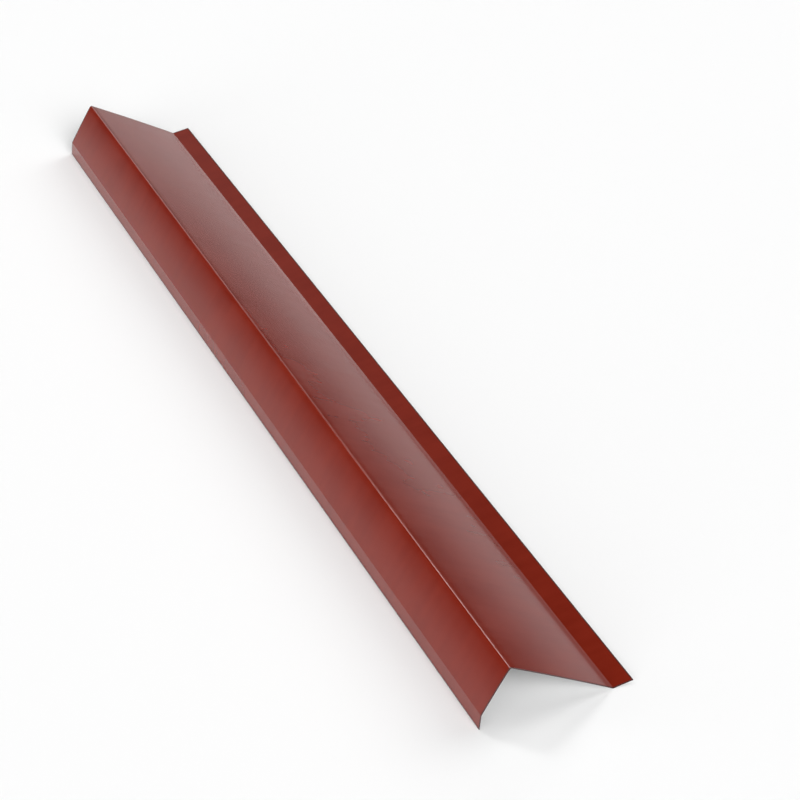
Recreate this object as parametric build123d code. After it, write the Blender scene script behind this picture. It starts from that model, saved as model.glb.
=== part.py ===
from build123d import *
import math
import os

# Verge flashing: one length of colour-coated steel sheet, folded four legs wide along its length.
# Millimetres. Y runs along the length, Z is up, and X runs across, from the face leg to the lip.
# The piece lies unheld on a level floor, and the origin is on the floor under its middle.

# Driving dimensions. Leg widths run between the sharp corners of the outer, weather side.
length = 1250.0  # between the two square-cut ends
sheet_thickness = 0.5
bend_radius = 1.5  # inside every fold
roof_leg = 130.0  # from the main fold to the lip fold, lies along the edge of the roof
face_leg = 57.0  # from the main fold to the drip fold, covers the barge board
lip = 22.0  # free edge of the roof leg, turned up to keep water on the roof
drip = 17.0  # free edge of the face leg, turned in towards the barge board
main_angle = 91.0  # between the roof leg and the face leg, on the underside
lip_turn = 38.0  # upwards, out of the plane of the roof leg
drip_turn = 25.0  # inwards, out of the plane of the face leg

# A fold's two arcs share one centre, so the outer one is a sheet thickness larger.
outer_bend_radius = bend_radius + sheet_thickness


def step(start, distance, heading):
    """The point a distance from start, along a heading in degrees from the roof leg."""
    return start + Vector(distance, 0).rotate(Axis.Z, heading)


# Corners of the weather side, in the plane of the section, with the roof leg along the first axis.
face_heading = -main_angle
drip_heading = face_heading + drip_turn
main_fold = Vector(0, 0)
lip_fold = step(main_fold, roof_leg, 0)
lip_tip = step(lip_fold, lip, lip_turn)
drip_fold = step(main_fold, face_leg, face_heading)
drip_tip = step(drip_fold, drip, drip_heading)


def folded_section():
    """The sheet's cross-section: the weather side with its fold arcs, thickened to the underside."""
    # The lip folds towards the weather side, and the other two folds away from it.
    weather_side = FilletPolyline(
        (lip_tip, lip_fold, main_fold, drip_fold, drip_tip),
        radius=(bend_radius, outer_bend_radius, outer_bend_radius),
    )
    return make_face(offset(weather_side, amount=sheet_thickness, side=Side.LEFT))


def floor_slope(corner, centre, radius):
    """Slope of the line that leaves a corner and passes just under a round of this radius."""
    reach = centre - corner
    return math.degrees(math.atan2(reach.Y, reach.X) - math.asin(radius / reach.length))


def resting_tilt():
    """How far the roof leg slopes when the piece stands on its drip and on its lip fold."""
    drip_corners = (drip_tip, step(drip_tip, sheet_thickness, drip_heading + 90))
    lip_fold_centre = step(lip_fold, bend_radius / math.cos(math.radians(lip_turn / 2)), 90 + lip_turn / 2)
    lip_corner = step(lip_tip, sheet_thickness, lip_turn - 90)
    lip_supports = ((lip_fold_centre, outer_bend_radius), (lip_corner, 0))
    # The floor lies under both supports of the lip side, and under both corners of the cut drip edge.
    return max(min(floor_slope(corner, *support) for support in lip_supports) for corner in drip_corners)


def flashing():
    """The folded sheet at its full length, set down on the floor and centred over the origin."""
    section = Plane.XZ * folded_section().rotate(Axis.Z, -resting_tilt())
    sheet = extrude(section, amount=length / 2, both=True)
    box = sheet.bounding_box()
    return Pos(-box.center().X, 0, -box.min.Z) * sheet


os.makedirs("parts", exist_ok=True)
export_step(flashing(), "parts/verge_flashing.step")
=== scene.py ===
# %% [markdown]
# Verge flashing.
#
# This notebook dresses one folded roof trim. The real thing is a strip of steel sheet that was
# painted while it was flat and then bent three times along its length: a wide roof leg with a
# small upturned lip, and a narrower face leg that ends in a drip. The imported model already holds
# its exact size and place, so the first step is to load that and to note how big it is.

# %% Load the fixed model
import math

import bpy
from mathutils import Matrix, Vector
from mathutils.bvhtree import BVHTree


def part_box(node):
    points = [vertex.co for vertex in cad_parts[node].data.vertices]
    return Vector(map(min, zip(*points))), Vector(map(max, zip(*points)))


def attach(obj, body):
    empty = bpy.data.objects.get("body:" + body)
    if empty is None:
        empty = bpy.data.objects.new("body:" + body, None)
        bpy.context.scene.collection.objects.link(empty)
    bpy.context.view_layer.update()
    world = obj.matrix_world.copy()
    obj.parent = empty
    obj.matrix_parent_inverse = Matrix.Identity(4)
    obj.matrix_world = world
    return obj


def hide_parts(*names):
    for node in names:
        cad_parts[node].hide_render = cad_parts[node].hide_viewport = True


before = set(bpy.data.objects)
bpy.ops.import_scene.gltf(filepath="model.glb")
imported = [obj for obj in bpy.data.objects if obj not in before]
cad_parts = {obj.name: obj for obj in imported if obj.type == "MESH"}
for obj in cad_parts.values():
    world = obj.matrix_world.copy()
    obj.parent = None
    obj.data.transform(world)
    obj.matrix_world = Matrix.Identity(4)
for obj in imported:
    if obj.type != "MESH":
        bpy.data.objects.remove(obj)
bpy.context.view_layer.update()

cad_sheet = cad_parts["verge_flashing"]
low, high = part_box("verge_flashing")
print("model box in metres, from", tuple(round(v, 4) for v in low),
      "to", tuple(round(v, 4) for v in high))

# %% [markdown]
# The camera.
#
# The trim is long and thin, and it lies across the picture from the top left to the bottom right.
# Its ten visible corners fix the viewpoint: the camera is at eye height, well back from the near
# end, and looks down with a long lens, so the far end is only about a third smaller than the near
# one. A camera is easiest to aim with two angles: how far it turns from the length of the trim,
# and how far it looks down.

# %% Place the camera
FRAME_WIDTH_PX = 800
SENSOR_WIDTH_MM = 36.0
focal_length_px = 2369.3
camera_place = (-0.8377, -2.1177, 1.5115)
camera_turn = math.radians(-24.28)
camera_looks_down = math.radians(34.20)

camera_data = bpy.data.cameras.new("long_lens")
camera_data.sensor_width = SENSOR_WIDTH_MM
camera_data.lens = focal_length_px / FRAME_WIDTH_PX * SENSOR_WIDTH_MM
camera = bpy.data.objects.new("camera", camera_data)
camera.location = camera_place
camera.rotation_euler = (math.pi / 2 - camera_looks_down, 0.0, camera_turn)
bpy.context.scene.collection.objects.link(camera)
bpy.context.scene.camera = camera
print("lens", round(camera_data.lens, 1), "mm")

# %% [markdown]
# Writing node trees as sums.
#
# Both the shape and the finishes are node trees. Clicking them together in an editor is fine, but
# in a script a tree reads best as arithmetic. `Wire` wraps one output socket, so that
# `1 - edge * 0.3` adds the two Math nodes by itself. `Tree` has a single method that adds any
# other node: its settings come first, because some of them change which sockets there are.

# %% A small language for node trees
class Wire:
    """One output socket of a node tree, ready to be used in a sum."""

    def __init__(self, tree, socket):
        self.tree = tree
        self.socket = socket

    def math(self, operation, other=0.0, swap=False):
        terms = (other, self) if swap else (self, other)
        return self.tree.add("ShaderNodeMath", {"operation": operation}, {0: terms[0], 1: terms[1]})

    def __add__(self, other):
        return self.math("ADD", other)

    def __sub__(self, other):
        return self.math("SUBTRACT", other)

    def __rsub__(self, other):
        return self.math("SUBTRACT", other, swap=True)

    def __mul__(self, other):
        return self.math("MULTIPLY", other)

    def __truediv__(self, other):
        return self.math("DIVIDE", other)

    def __abs__(self):
        return self.math("ABSOLUTE")

    def __neg__(self):
        return self.math("MULTIPLY", -1.0)

    def __lt__(self, other):
        return self.math("LESS_THAN", other)

    __radd__ = __add__
    __rmul__ = __mul__


class Tree:
    """A shader or geometry node tree that is written instead of drawn."""

    def __init__(self, tree):
        self.tree = tree

    def add(self, kind, settings=None, sockets=None, output=0):
        """Adds a node, sets its settings, then fills its sockets with values or links.

        A list of wires goes to one socket, link by link, as Join Geometry takes them.
        """
        node = self.tree.nodes.new(kind)
        for name, value in (settings or {}).items():
            if name == "items":
                while len(node.index_switch_items) < value:
                    node.index_switch_items.new()
            else:
                setattr(node, name, value)
        for name, given in (sockets or {}).items():
            for value in given if isinstance(given, list) else [given]:
                if isinstance(value, Wire):
                    self.tree.links.new(value.socket, node.inputs[name])
                else:
                    node.inputs[name].default_value = value
        return Wire(self, node.outputs[output]) if node.outputs else node

    def other(self, wire, output):
        """Another output of the node that a wire comes from."""
        return Wire(self, wire.socket.node.outputs[output])


print("Wire adds Math nodes and Tree adds the others")

# %% [markdown]
# The folded sheet.
#
# On the real trim one flat blank becomes the whole object, so one rule makes the whole shape: walk
# along the weather side, leg by leg, round each corner off into a fold, stretch that line along
# the length, and give it the thickness of the sheet. Modelling it by hand from cubes would lose
# the folds. Geometry Nodes can follow the rule exactly, from the same sizes that the model has.
#
# Every size is a named input of the tree. Angles are degrees here and radians in the tree.

# %% Sizes of the folded sheet
MM = 0.001
roof_leg = 130.0 * MM
face_leg = 57.0 * MM
lip = 22.0 * MM
drip = 17.0 * MM
sheet_thickness = 0.5 * MM
bend_radius = 1.5 * MM
main_angle = math.radians(91.0)
lip_turn = math.radians(38.0)
drip_turn = math.radians(25.0)
length = high.y - low.y

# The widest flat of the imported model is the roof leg, and its slope says how the trim leans.
widest = max((p for p in cad_sheet.data.polygons if p.normal.z > 0), key=lambda p: p.area)
resting_tilt = math.atan2(widest.normal.x, widest.normal.z)
print("length", round(length, 4), "m, the roof leg leans",
      round(math.degrees(resting_tilt), 2), "degrees")

# %% [markdown]
# The tree starts with five corners. A mesh line gives five points, an Index Switch sends each to
# its corner, and Fillet Curve turns the three inner corners into folds. The weather side is the
# outside of the main fold and of the drip fold, but the inside of the lip fold, so the lip fold
# gets the smaller radius: that is how the sheet keeps one thickness all the way round.
#
# The flats need points of their own, because they will be crowned. Nothing bends along the length,
# so the points there lie much further apart.

# %% Build the tree for the folded sheet
RUN_SPACING_FACTOR = 20.0
SHOULDER_POWER = 3.0
WELD_SHARE = 0.02
SMOOTH_BELOW = math.radians(30.0)


def folded_sheet_tree():
    """The tree that grows the whole sheet, with its three finishes, from its named inputs."""
    group = bpy.data.node_groups.new("folded_sheet", "GeometryNodeTree")
    for name, kind in SHEET_INPUTS:
        group.interface.new_socket(name, in_out="INPUT", socket_type=kind)
    group.interface.new_socket("Geometry", in_out="OUTPUT", socket_type="NodeSocketGeometry")
    tree = Tree(group)
    given = tree.add("NodeGroupInput")
    size = {name: tree.other(given, name) for name, _ in SHEET_INPUTS}

    def leg(start, distance, heading):
        """The point a distance from start, along a heading in the plane of the section."""
        step = tree.add("ShaderNodeCombineXYZ", None, {
            "X": distance * heading.math("COSINE"), "Z": distance * heading.math("SINE")})
        return tree.add("ShaderNodeVectorMath", {"operation": "ADD"}, {0: start, 1: step})

    main_fold = (0.0, 0.0, 0.0)
    lip_fold = tree.add("ShaderNodeCombineXYZ", None, {"X": size["Roof Leg"]})
    lip_tip = leg(lip_fold, size["Lip"], size["Lip Turn"])
    face_heading = -size["Main Angle"]
    drip_fold = leg(main_fold, size["Face Leg"], face_heading)
    drip_tip = leg(drip_fold, size["Drip"], face_heading + size["Drip Turn"])

    corners = (lip_tip, lip_fold, main_fold, drip_fold, drip_tip)
    index = tree.add("GeometryNodeInputIndex")
    corner = tree.add("GeometryNodeIndexSwitch", {"data_type": "VECTOR", "items": len(corners)}, {
        "Index": index, **dict(enumerate(corners, start=1))})
    points = tree.add("GeometryNodeMeshLine", None, {"Count": len(corners)})
    placed = tree.add("GeometryNodeSetPosition", None, {"Geometry": points, "Position": corner})
    sharp_line = tree.add("GeometryNodeMeshToCurve", None, {"Mesh": placed})

    outer_radius = size["Bend Radius"] + size["Sheet Thickness"]
    lip_side = index < corners.index(lip_fold) + 0.5
    radius = size["Bend Radius"] * lip_side + outer_radius * (1 - lip_side)
    folded_line = tree.add("GeometryNodeFilletCurve", {"mode": "POLY"}, {
        "Curve": sharp_line, "Count": size["Fold Steps"], "Radius": radius, "Limit Radius": False})

    def divided(curve, spacing):
        """The same line with extra points on its long runs, for the crowns to move."""
        walked = tree.other(tree.add("GeometryNodeSplineParameter"), "Length")
        here = tree.add("GeometryNodeInputIndex")
        there = tree.add("GeometryNodeFieldAtIndex", {"data_type": "FLOAT"}, {
            "Index": here + 1, "Value": walked})
        cuts = ((there - walked) / spacing).math("FLOOR").math("MAXIMUM", 0.0)
        return tree.add("GeometryNodeSubdivideCurve", None, {"Curve": curve, "Cuts": cuts})

    def measured(curve, name):
        """Writes how far along the line each point is, as the blank would be measured when flat."""
        walked = tree.other(tree.add("GeometryNodeSplineParameter"), "Length")
        return tree.add("GeometryNodeStoreNamedAttribute", {"data_type": "FLOAT", "domain": "POINT"}, {
            "Geometry": curve, "Name": name, "Value": walked})

    half = size["Length"] * 0.5
    run = tree.add("GeometryNodeCurvePrimitiveLine", None, {
        "Start": tree.add("ShaderNodeCombineXYZ", None, {"X": -half}),
        "End": tree.add("ShaderNodeCombineXYZ", None, {"X": half})})
    girth_line = measured(divided(folded_line, size["Spacing"]), "girth")
    run_line = measured(divided(run, size["Spacing"] * RUN_SPACING_FACTOR), "run")
    skin = tree.add("GeometryNodeCurveToMesh", None, {"Curve": girth_line, "Profile Curve": run_line})

    blank = tree.add("ShaderNodeCombineXYZ", None, {
        "X": tree.add("GeometryNodeInputNamedAttribute", {"data_type": "FLOAT"}, {"Name": "girth"}),
        "Y": tree.add("GeometryNodeInputNamedAttribute", {"data_type": "FLOAT"}, {"Name": "run"})})
    skin = tree.add("GeometryNodeStoreNamedAttribute", {"data_type": "FLOAT2", "domain": "CORNER"}, {
        "Geometry": skin, "Name": "blank", "Value": blank})

    def crown(leg_name, main_fold_first):
        """How far one flat bulges outwards: a low arch, and a shoulder beside the main fold."""
        girth = tree.add("GeometryNodeInputNamedAttribute", {"data_type": "FLOAT"}, {"Name": "girth"})
        start, end = size[leg_name + " Start"], size[leg_name + " End"]
        share = ((girth - start) / (end - start)).math("MAXIMUM", 0.0).math("MINIMUM", 1.0)
        # The 4 makes the arch as high as the crown in the middle of the leg.
        arch = share * (1 - share) * 4 * size[leg_name + " Crown"]
        from_fold = share if main_fold_first else 1 - share
        still_bent = 1 - (from_fold * (end - start) / size["Shoulder Width"]).math("MINIMUM", 1.0)
        return arch + (1 - still_bent.math("POWER", SHOULDER_POWER) - from_fold) * size["Shoulder"]

    rise = crown("Roof", main_fold_first=False) + crown("Face", main_fold_first=True)
    outwards = tree.add("ShaderNodeVectorMath", {"operation": "SCALE"}, {
        0: tree.add("GeometryNodeInputNormal"), "Scale": rise})
    skin = tree.add("GeometryNodeSetPosition", None, {"Geometry": skin, "Offset": outwards})

    turned_down = tree.add("GeometryNodeFlipFaces", None, {"Mesh": skin})
    thick = tree.add("GeometryNodeExtrudeMesh", {"mode": "FACES"}, {
        "Mesh": turned_down, "Offset Scale": size["Sheet Thickness"], "Individual": False})
    underside = tree.other(thick, "Top")
    rim = tree.other(thick, "Side")
    both = tree.add("GeometryNodeJoinGeometry", None, {"Geometry": [thick, skin]})
    closed = tree.add("GeometryNodeMergeByDistance", None, {
        "Geometry": both, "Distance": size["Sheet Thickness"] * WELD_SHARE})

    bend = tree.add("GeometryNodeInputMeshEdgeAngle")
    smooth = tree.add("GeometryNodeSetShadeSmooth", {"domain": "EDGE"}, {
        "Geometry": closed, "Shade Smooth": bend < SMOOTH_BELOW})
    leaning = tree.add("GeometryNodeTransform", None, {
        "Geometry": smooth, "Rotation": tree.add("ShaderNodeCombineXYZ", None, {"Y": size["Tilt"]})})

    whole = tree.add("GeometryNodeRealizeInstances", None, {"Geometry": leaning})
    whole = tree.add("GeometryNodeSetMaterial", None, {
        "Geometry": whole, "Material": size["Colour Coat"]})
    whole = tree.add("GeometryNodeSetMaterial", None, {
        "Geometry": whole, "Selection": underside, "Material": size["Back Coat"]})
    whole = tree.add("GeometryNodeSetMaterial", None, {
        "Geometry": whole, "Selection": rim, "Material": size["Cut Edge"]})
    tree.add("NodeGroupOutput", None, {"Geometry": whole})
    return group


SHEET_INPUTS = [(name, "NodeSocketFloat") for name in (
    "Roof Leg", "Face Leg", "Lip", "Drip", "Sheet Thickness", "Bend Radius",
    "Main Angle", "Lip Turn", "Drip Turn", "Length", "Tilt", "Spacing",
    "Roof Crown", "Roof Start", "Roof End", "Face Crown", "Face Start", "Face End",
    "Shoulder", "Shoulder Width")]
SHEET_INPUTS += [("Fold Steps", "NodeSocketInt")]
SHEET_INPUTS += [(name, "NodeSocketMaterial") for name in ("Colour Coat", "Back Coat", "Cut Edge")]
sheet_tree = folded_sheet_tree()
print("tree for the sheet has", len(sheet_tree.nodes), "nodes")

# %% [markdown]
# Where the folds are.
#
# Seen on the flat blank, each fold is a line. A fold eats a little of its two legs and gives an
# arc back, so the lines are worked out leg by leg, from the edge of the lip. The flats between the
# folds aren't quite flat: pressing a sheet leaves each one crowned by a fraction of a millimetre,
# with a slight shoulder beside the main fold. Nobody sees these as a shape, but everybody sees them
# in the way a reflection fades across the flat. Both go on the two wide flats only, and stay inside
# the model's box.

# %% Places on the blank
outer_bend_radius = bend_radius + sheet_thickness
folds = (("lip fold", lip_turn, bend_radius),
         ("main fold", math.pi - main_angle, outer_bend_radius),
         ("drip fold", drip_turn, outer_bend_radius))
fold_start = {}
fold_end = {}
across = 0.0
eaten = 0.0
for leg_size, (fold_name, turn, radius) in zip((lip, roof_leg, face_leg), folds):
    across += leg_size - eaten - radius * math.tan(turn / 2)
    fold_start[fold_name] = across
    across += radius * turn
    fold_end[fold_name] = across
    eaten = radius * math.tan(turn / 2)
blank_width = across + drip - eaten
fold_middle = {name: (fold_start[name] + fold_end[name]) / 2 for name in fold_start}
print("blank", round(blank_width / MM, 2), "mm wide, folds at",
      {name: round(place / MM, 2) for name, place in fold_middle.items()})

roof_crown = 0.55 * MM
face_crown = 0.25 * MM
shoulder = 0.13 * MM
shoulder_width = 9.0 * MM
print("crowns of", round(roof_crown / MM, 2), "and", round(face_crown / MM, 2), "mm, and a shoulder of",
      round(shoulder / MM, 2), "mm")

# %% [markdown]
# Growing the sheet.
#
# The tree needs an object to live on, and it fills that object's mesh. Its inputs are set by
# socket identifier before the object is looked at for the first time. The result is then copied
# out as a plain mesh, because a finished piece has no live tree on it. The copy is set down by its
# box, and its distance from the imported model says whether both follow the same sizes.

# %% Grow the sheet and set it down
point_spacing = 2.5 * MM
steps_in_a_fold = 16

colour_coat = bpy.data.materials.new("colour_coat")
back_coat = bpy.data.materials.new("back_coat")
cut_edge = bpy.data.materials.new("cut_edge")


def grown(tree, inputs, name):
    """A plain mesh object from a geometry node tree and the values of its named inputs."""
    seed = bpy.data.objects.new(name + "_seed", bpy.data.meshes.new(name + "_seed"))
    bpy.context.scene.collection.objects.link(seed)
    modifier = seed.modifiers.new(name, "NODES")
    modifier.node_group = tree
    for socket in tree.interface.items_tree:
        if socket.in_out == "INPUT":
            modifier[socket.identifier] = inputs[socket.name]
    evaluated = seed.evaluated_get(bpy.context.evaluated_depsgraph_get())
    mesh = bpy.data.meshes.new_from_object(evaluated)
    # The seed's own slot comes first and is empty, so it goes. The faces keep their finishes.
    mesh.materials.pop(index=0)
    piece = bpy.data.objects.new(name, mesh)
    bpy.context.scene.collection.objects.link(piece)
    bpy.data.objects.remove(seed)
    return piece


folded_sheet = grown(sheet_tree, {
    "Roof Leg": roof_leg, "Face Leg": face_leg, "Lip": lip, "Drip": drip,
    "Sheet Thickness": sheet_thickness, "Bend Radius": bend_radius,
    "Main Angle": main_angle, "Lip Turn": lip_turn, "Drip Turn": drip_turn,
    "Length": length, "Tilt": resting_tilt, "Spacing": point_spacing, "Fold Steps": steps_in_a_fold,
    "Roof Crown": roof_crown, "Roof Start": fold_end["lip fold"],
    "Roof End": fold_start["main fold"],
    "Face Crown": face_crown, "Face Start": fold_end["main fold"],
    "Face End": fold_start["drip fold"],
    "Shoulder": shoulder, "Shoulder Width": shoulder_width,
    "Colour Coat": colour_coat, "Back Coat": back_coat, "Cut Edge": cut_edge}, "folded_sheet")


def box_of(mesh):
    """Lowest and highest corner of a mesh."""
    corners = [v.co for v in mesh.vertices]
    return (Vector([min(c[i] for c in corners) for i in range(3)]),
            Vector([max(c[i] for c in corners) for i in range(3)]))


sheet_low, sheet_high = box_of(folded_sheet.data)
set_down = (low + high - sheet_low - sheet_high) / 2
for vertex in folded_sheet.data.vertices:
    vertex.co += set_down
surface = BVHTree.FromPolygons(
    [v.co for v in folded_sheet.data.vertices], [p.vertices for p in folded_sheet.data.polygons])
stray = max(surface.find_nearest(v.co)[3] for v in cad_sheet.data.vertices)
print("sheet has", len(folded_sheet.data.polygons), "faces; the model's corners lie within",
      round(stray / MM, 4), "mm of it")

# %% [markdown]
# Laying the finish out on the blank.
#
# Paint goes on while the sheet is still flat, so the finishes are laid out on the flat blank too,
# by the UV map that the tree stored: U is how far across the blank a point is, from the edge of
# the lip, and V is how far along, both in metres. Roller streaks then run straight over a fold, as
# they do on the real sheet, and a line of wear is a line in U. These helpers write the sums that
# the three finishes share.

# %% Helpers for the finishes
def blank_tree(material):
    """An emptied shader tree, the place on the blank, and that place's two coordinates."""
    material.use_nodes = True
    material.node_tree.nodes.clear()
    tree = Tree(material.node_tree)
    place = tree.add("ShaderNodeUVMap", {"uv_map": "blank"})
    parts = tree.add("ShaderNodeSeparateXYZ", None, {"Vector": place})
    return tree, place, parts, tree.other(parts, "Y")


def finished(tree, sockets):
    """Ends a tree in a Principled shader with these sockets."""
    shader = tree.add("ShaderNodeBsdfPrincipled", None, sockets)
    tree.add("ShaderNodeOutputMaterial", None, {"Surface": shader})


def noise(tree, place, stretch, detail=2.0, roughness=0.5):
    """Soft noise from 0 to 1. Stretch says how many bumps there are in a metre, each way."""
    scaled = tree.add("ShaderNodeMapping", None, {"Vector": place, "Scale": stretch})
    return tree.add("ShaderNodeTexNoise", None, {
        "Vector": scaled, "Scale": 1.0, "Detail": detail, "Roughness": roughness})


def faded(tree, value, start, end, first=0.0, last=1.0):
    """Goes smoothly from the first value to the last while a wire goes from start to end."""
    return tree.add("ShaderNodeMapRange", {"interpolation_type": "SMOOTHSTEP"}, {
        "Value": value, "From Min": start, "From Max": end, "To Min": first, "To Max": last})


def beside(tree, distance, full, none):
    """1 up to the first distance, and faded out to 0 at the second."""
    return faded(tree, distance, full, none, 1.0, 0.0)


def rim_distance(u, v):
    """How far a point on the blank is from the nearest cut edge."""
    from_sides = u.math("MINIMUM", blank_width - u)
    from_ends = v.math("MINIMUM", length - v)
    return from_sides.math("MINIMUM", from_ends)


# The Mix node has sockets of every type, and these are the numbers of its colour sockets.
MIX_FIRST, MIX_SECOND, MIX_RESULT = 6, 7, 2


def mixed(tree, factor, first, second):
    """One colour turning into another."""
    return tree.add("ShaderNodeMix", {"data_type": "RGBA"}, {
        "Factor": factor, MIX_FIRST: first, MIX_SECOND: second}, output=MIX_RESULT)


print("finishes are laid out on a blank of", round(length, 3), "by", round(blank_width, 4), "m")

# %% [markdown]
# The colour coat.
#
# The weather side is a baked, satin, red-brown polyester paint, about 25 micrometres thick. Close
# up it isn't one flat colour. The film is a little thicker here and thinner there, the roller that
# laid it left faint streaks along the coil, which run across this trim, and it dried with a fine
# orange-peel skin. The press stretched it over the outer folds and rubbed it smooth, which left it
# glossier there; the paler paint along the folds is partly that stretching and partly a painted
# highlight. Beside each cut edge the paint is darker and rougher: partly damage from the shear, and
# partly painted shade along the edge. A picture of paint would have to be stretched over the shape,
# so all of this is written as sums of noise instead.

# %% Mix the colour coat
PAINT_DEEP = (0.180, 0.0140, 0.0056, 1.0)
PAINT_THIN = (0.205, 0.0175, 0.0074, 1.0)
# Paler paint for the folds: partly stretched paint, partly a painted highlight along the fold.
FOLD_STRETCH_AND_HIGHLIGHT_PAINT = (0.215, 0.0230, 0.0130, 1.0)
# Dark paint beside the cut edges: partly shear damage, partly painted shade along the edge.
RIM_WEAR_AND_SHADE_PAINT = (0.055, 0.0060, 0.0045, 1.0)
PAINT_ROUGHNESS = 0.15
PEEL_STRENGTH = 0.04
PEEL_HEIGHT = 0.02 * MM
FILM_TURNS = (0.35, 0.65)
MAIN_FOLD_BAND = (0.9 * MM, 2.6 * MM)
DRIP_FOLD_BAND = (0.3 * MM, 1.2 * MM)
RIM_WEAR_AND_SHADE_BAND = (1.2 * MM, 2.0 * MM)
RIM_WEAR_AND_SHADE_RAGGED = 0.6 * MM


def paint_weather_side(material):
    tree, place, u, v = blank_tree(material)
    clouds = noise(tree, place, (18.0, 18.0, 1.0), detail=4.0)
    streaks = noise(tree, place, (5.0, 80.0, 1.0), detail=1.0)
    peel = noise(tree, place, (650.0, 650.0, 1.0), detail=2.0)
    ragged = noise(tree, place, (900.0, 900.0, 1.0), detail=3.0)

    film = faded(tree, clouds * 0.7 + streaks * 0.3, *FILM_TURNS)
    colour = mixed(tree, film, PAINT_DEEP, PAINT_THIN)
    on_main_fold = beside(tree, abs(u - fold_middle["main fold"]), *MAIN_FOLD_BAND)
    on_drip_fold = beside(tree, abs(u - fold_middle["drip fold"]), *DRIP_FOLD_BAND)
    pressed = on_main_fold + on_drip_fold * 0.5
    # Paler paint along the folds: partly stretching, partly a painted highlight.
    stretch_and_highlight = pressed * (0.1 + ragged * 0.4)
    colour = mixed(tree, stretch_and_highlight, colour, FOLD_STRETCH_AND_HIGHLIGHT_PAINT)
    # Darker paint beside the cut edges: partly shear damage, partly painted shade.
    rim = beside(tree, rim_distance(u, v) + ragged * RIM_WEAR_AND_SHADE_RAGGED, *RIM_WEAR_AND_SHADE_BAND)
    colour = mixed(tree, rim, colour, RIM_WEAR_AND_SHADE_PAINT)

    roughness = PAINT_ROUGHNESS + (streaks + clouds - 1) * 0.03 - pressed * 0.04 + rim * 0.25
    skin = tree.add("ShaderNodeBump", None, {
        "Strength": PEEL_STRENGTH, "Distance": PEEL_HEIGHT, "Height": peel + streaks * 0.1 - rim})
    finished(tree, {"Base Color": colour, "Roughness": roughness, "IOR": 1.5, "Normal": skin})


paint_weather_side(colour_coat)
print("colour coat has", len(colour_coat.node_tree.nodes), "nodes")

# %% [markdown]
# The back coat.
#
# The underside never shows once the trim is up, so it gets a thin, dull, light grey wash coat
# instead of the colour. It is laid on with less care: the roller streaks are plainer, the steel's
# grain shows through a little, and stacking and folding leave it with faint dull scuffs.

# %% Mix the back coat
BACK_GREY = (0.400, 0.405, 0.400, 1.0)
BACK_GREY_THIN = (0.330, 0.335, 0.335, 1.0)
BACK_SCUFF = (0.500, 0.500, 0.490, 1.0)
BACK_RIM = (0.160, 0.150, 0.145, 1.0)
BACK_ROUGHNESS = 0.50
GRAIN_STRENGTH = 0.2
GRAIN_HEIGHT = 0.02 * MM
WASH_TURNS = (0.35, 0.65)
SCUFF_TURNS = (0.58, 0.72)
GRAIN_TURNS = (0.3, 0.7)
BACK_RIM_BAND = (0.45 * MM, 1.0 * MM)
BACK_RIM_RAGGED = 0.5 * MM


def wash_underside(material):
    tree, place, u, v = blank_tree(material)
    clouds = noise(tree, place, (14.0, 14.0, 1.0), detail=5.0)
    streaks = noise(tree, place, (4.0, 210.0, 1.0), detail=4.0, roughness=0.65)
    grain = noise(tree, place, (1100.0, 500.0, 1.0), detail=2.0)
    rubbing = noise(tree, place, (40.0, 9.0, 1.0), detail=6.0, roughness=0.7)

    wash = faded(tree, clouds * 0.4 + streaks * 0.6, *WASH_TURNS)
    colour = mixed(tree, wash, BACK_GREY, BACK_GREY_THIN)
    scuffs = faded(tree, rubbing, *SCUFF_TURNS) * faded(tree, grain, *GRAIN_TURNS)
    colour = mixed(tree, scuffs * 0.6, colour, BACK_SCUFF)
    rim = beside(tree, rim_distance(u, v) + grain * BACK_RIM_RAGGED, *BACK_RIM_BAND)
    colour = mixed(tree, rim, colour, BACK_RIM)

    roughness = BACK_ROUGHNESS + (streaks - 0.5) * 0.15 + scuffs * 0.12 + rim * 0.1
    skin = tree.add("ShaderNodeBump", None, {
        "Strength": GRAIN_STRENGTH, "Distance": GRAIN_HEIGHT, "Height": grain + streaks})
    finished(tree, {"Base Color": colour, "Roughness": roughness, "Normal": skin})


wash_underside(back_coat)
print("back coat has", len(back_coat.node_tree.nodes), "nodes")

# %% [markdown]
# The cut edges.
#
# The blank is sheared, so its rim is bare steel half a millimetre wide. Its colours are kept far
# darker than bare steel: they are painted shade along the cut edges. It has smoother patches where
# the blade cut, rougher ones where the rest tore, and smears of the paint that the blade dragged down
# with it. The rim has no room on the blank, so this finish reads Object coordinates. Its gloss is
# turned down.

# %% Mix the cut edge
# Steel, torn steel and paint smear of the cut edge, all darkened as painted shade along the edges.
STEEL_EDGE_PAINTED_SHADE = (0.085, 0.060, 0.052, 1.0)
TORN_EDGE_PAINTED_SHADE = (0.030, 0.020, 0.017, 1.0)
SMEAR_EDGE_PAINTED_SHADE = (0.050, 0.0065, 0.0045, 1.0)
EDGE_METALLIC = 0.2
EDGE_ROUGHNESS = 0.45
EDGE_SPECULAR = 0.15
TEAR_STRENGTH = 0.3
TEAR_HEIGHT = 0.03 * MM
TORN_TURNS = (0.40, 0.60)
SMEAR_TURNS = (0.36, 0.50)


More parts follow.
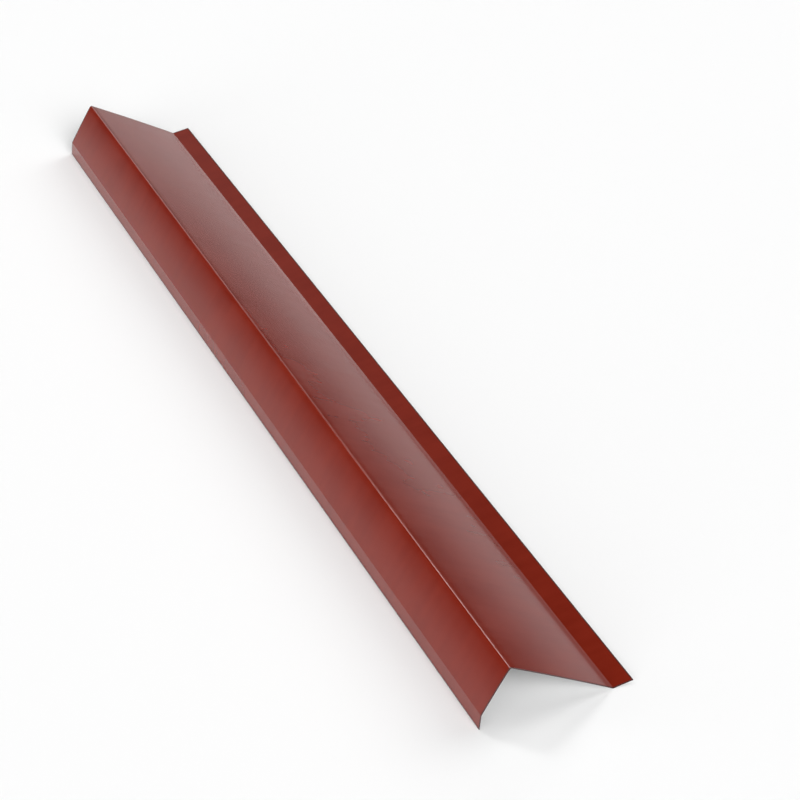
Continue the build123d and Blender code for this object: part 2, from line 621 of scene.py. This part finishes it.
def bare_the_rim(material):
    material.use_nodes = True
    material.node_tree.nodes.clear()
    tree = Tree(material.node_tree)
    place = tree.other(tree.add("ShaderNodeTexCoord"), "Object")
    torn = noise(tree, place, (1800.0, 900.0, 1800.0), detail=3.0)
    dragged = noise(tree, place, (500.0, 260.0, 500.0), detail=4.0, roughness=0.65)

    colour = mixed(tree, faded(tree, torn, *TORN_TURNS), STEEL_EDGE_PAINTED_SHADE, TORN_EDGE_PAINTED_SHADE)
    smear = faded(tree, dragged, *SMEAR_TURNS)
    colour = mixed(tree, smear, colour, SMEAR_EDGE_PAINTED_SHADE)
    tear = tree.add("ShaderNodeBump", None, {
        "Strength": TEAR_STRENGTH, "Distance": TEAR_HEIGHT, "Height": torn})
    finished(tree, {
        "Base Color": colour, "Metallic": EDGE_METALLIC - smear * EDGE_METALLIC,
        "Roughness": EDGE_ROUGHNESS + torn * 0.25, "Specular IOR Level": EDGE_SPECULAR,
        "Normal": tear})


bare_the_rim(cut_edge)
print("cut edge has", len(cut_edge.node_tree.nodes), "nodes")

# %% [markdown]
# The floor.
#
# The trim lies on a plain white floor without a horizon. One square face does for that. It is made
# far wider than the trim, so that no edge of it comes into the photo's view, and it belongs to the
# stage and not to the object.

# %% Lay the floor
FLOOR_WHITE = (0.89, 0.89, 0.89, 1.0)
FLOOR_WIDTH = 40.0

floor_mesh = bpy.data.meshes.new("floor")
half_floor = FLOOR_WIDTH / 2
floor_mesh.from_pydata(
    [(-half_floor, -half_floor, 0.0), (half_floor, -half_floor, 0.0),
     (half_floor, half_floor, 0.0), (-half_floor, half_floor, 0.0)], [], [(0, 1, 2, 3)])
floor = bpy.data.objects.new("floor", floor_mesh)
bpy.context.scene.collection.objects.link(floor)
floor_paint = bpy.data.materials.new("floor_white")
floor_paint.use_nodes = True
floor_paint.node_tree.nodes.clear()
floor_tree = Tree(floor_paint.node_tree)
floor_tree.add("ShaderNodeOutputMaterial", None, {
    "Surface": floor_tree.add("ShaderNodeBsdfDiffuse", None, {"Color": FLOOR_WHITE})})
floor_mesh.materials.append(floor_paint)
print("floor is", FLOOR_WIDTH, "m wide")

# %% [markdown]
# The light.
#
# The light is very soft. Satin paint shows what stands around it, so the light has to be right in
# two ways at once: the big boxes light the floor and leave the soft grey shadows, and what the roof
# leg mirrors veils its red towards the lip. Both are soft boxes, and they are painted on the world,
# because a lamp near a trim this long would light one end more than the other. Each box has a
# direction, a half width and a half height in degrees, and a strength. Anywhere else the studio is
# dark, which keeps the red deep. Only the camera sees a white backdrop there, behind the far edge
# of the floor.

# %% Paint the soft boxes on the world
SOFT_BOX_CORE = 0.35
FRONT_FADE = 0.2
BACKDROP_WHITE = 0.97


def soft_box(tree, turn, height, half_width, half_height, strength):
    """Light from one part of the sky, full in the middle and faded out at its rim.

    Its angles are degrees. The turn is from +Y, along the trim and away from the camera, towards +X.
    """
    turn, height = math.radians(turn), math.radians(height)
    level = math.cos(height)
    middle = Vector((math.sin(turn) * level, math.cos(turn) * level, math.sin(height)))
    across = Vector((math.cos(turn), -math.sin(turn), 0.0))
    upwards = across.cross(middle)
    direction = tree.other(tree.add("ShaderNodeTexCoord"), "Generated")

    def along(axis):
        return tree.add("ShaderNodeVectorMath", {"operation": "DOT_PRODUCT"}, {
            0: direction, 1: axis}, output=1)

    glow = faded(tree, along(middle), 0.0, FRONT_FADE) * strength
    for axis, reach in ((across, half_width), (upwards, half_height)):
        rim = math.sin(math.radians(reach))
        glow = glow * beside(tree, abs(along(axis)), rim * SOFT_BOX_CORE, rim)
    return glow


SOFT_BOXES = {
    "front": (180, 32, 26, 26, 9.0),
    "left": (-120, 12, 26, 26, 5.4),
    "low back left": (-68, 22, 18, 16, 2.6),
    "high right": (75, 38, 22, 22, 4.4),
    "glint": (-12, 46, 7, 7, 16.0),
    "glint shoulder": (-27, 42, 9, 7, 5.5),
    "back": (0, 32, 16, 16, 0.3),
    "far wall": (12, 0, 28, 4, 1.7),
    "far wall right": (30, 17, 12, 11, 2.6),
    "far corner": (45, 20, 14, 14, 0.8),
}
studio = bpy.data.worlds.new("studio")
studio.use_nodes = True
studio.node_tree.nodes.clear()
sky = Tree(studio.node_tree)
glow = sum(soft_box(sky, *numbers) for numbers in SOFT_BOXES.values())
camera_ray = sky.add("ShaderNodeLightPath")
sky.add("ShaderNodeOutputWorld", None, {"Surface": sky.add("ShaderNodeBackground", None, {
    "Color": (1.0, 1.0, 1.0, 1.0), "Strength": glow * (1 - camera_ray) + camera_ray * BACKDROP_WHITE})})
bpy.context.scene.world = studio
bpy.context.scene.view_settings.view_transform = "Standard"
print("studio has", len(SOFT_BOXES), "soft boxes")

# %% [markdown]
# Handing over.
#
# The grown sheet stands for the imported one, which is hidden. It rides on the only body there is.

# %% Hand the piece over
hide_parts("verge_flashing")
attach(folded_sheet, "root")
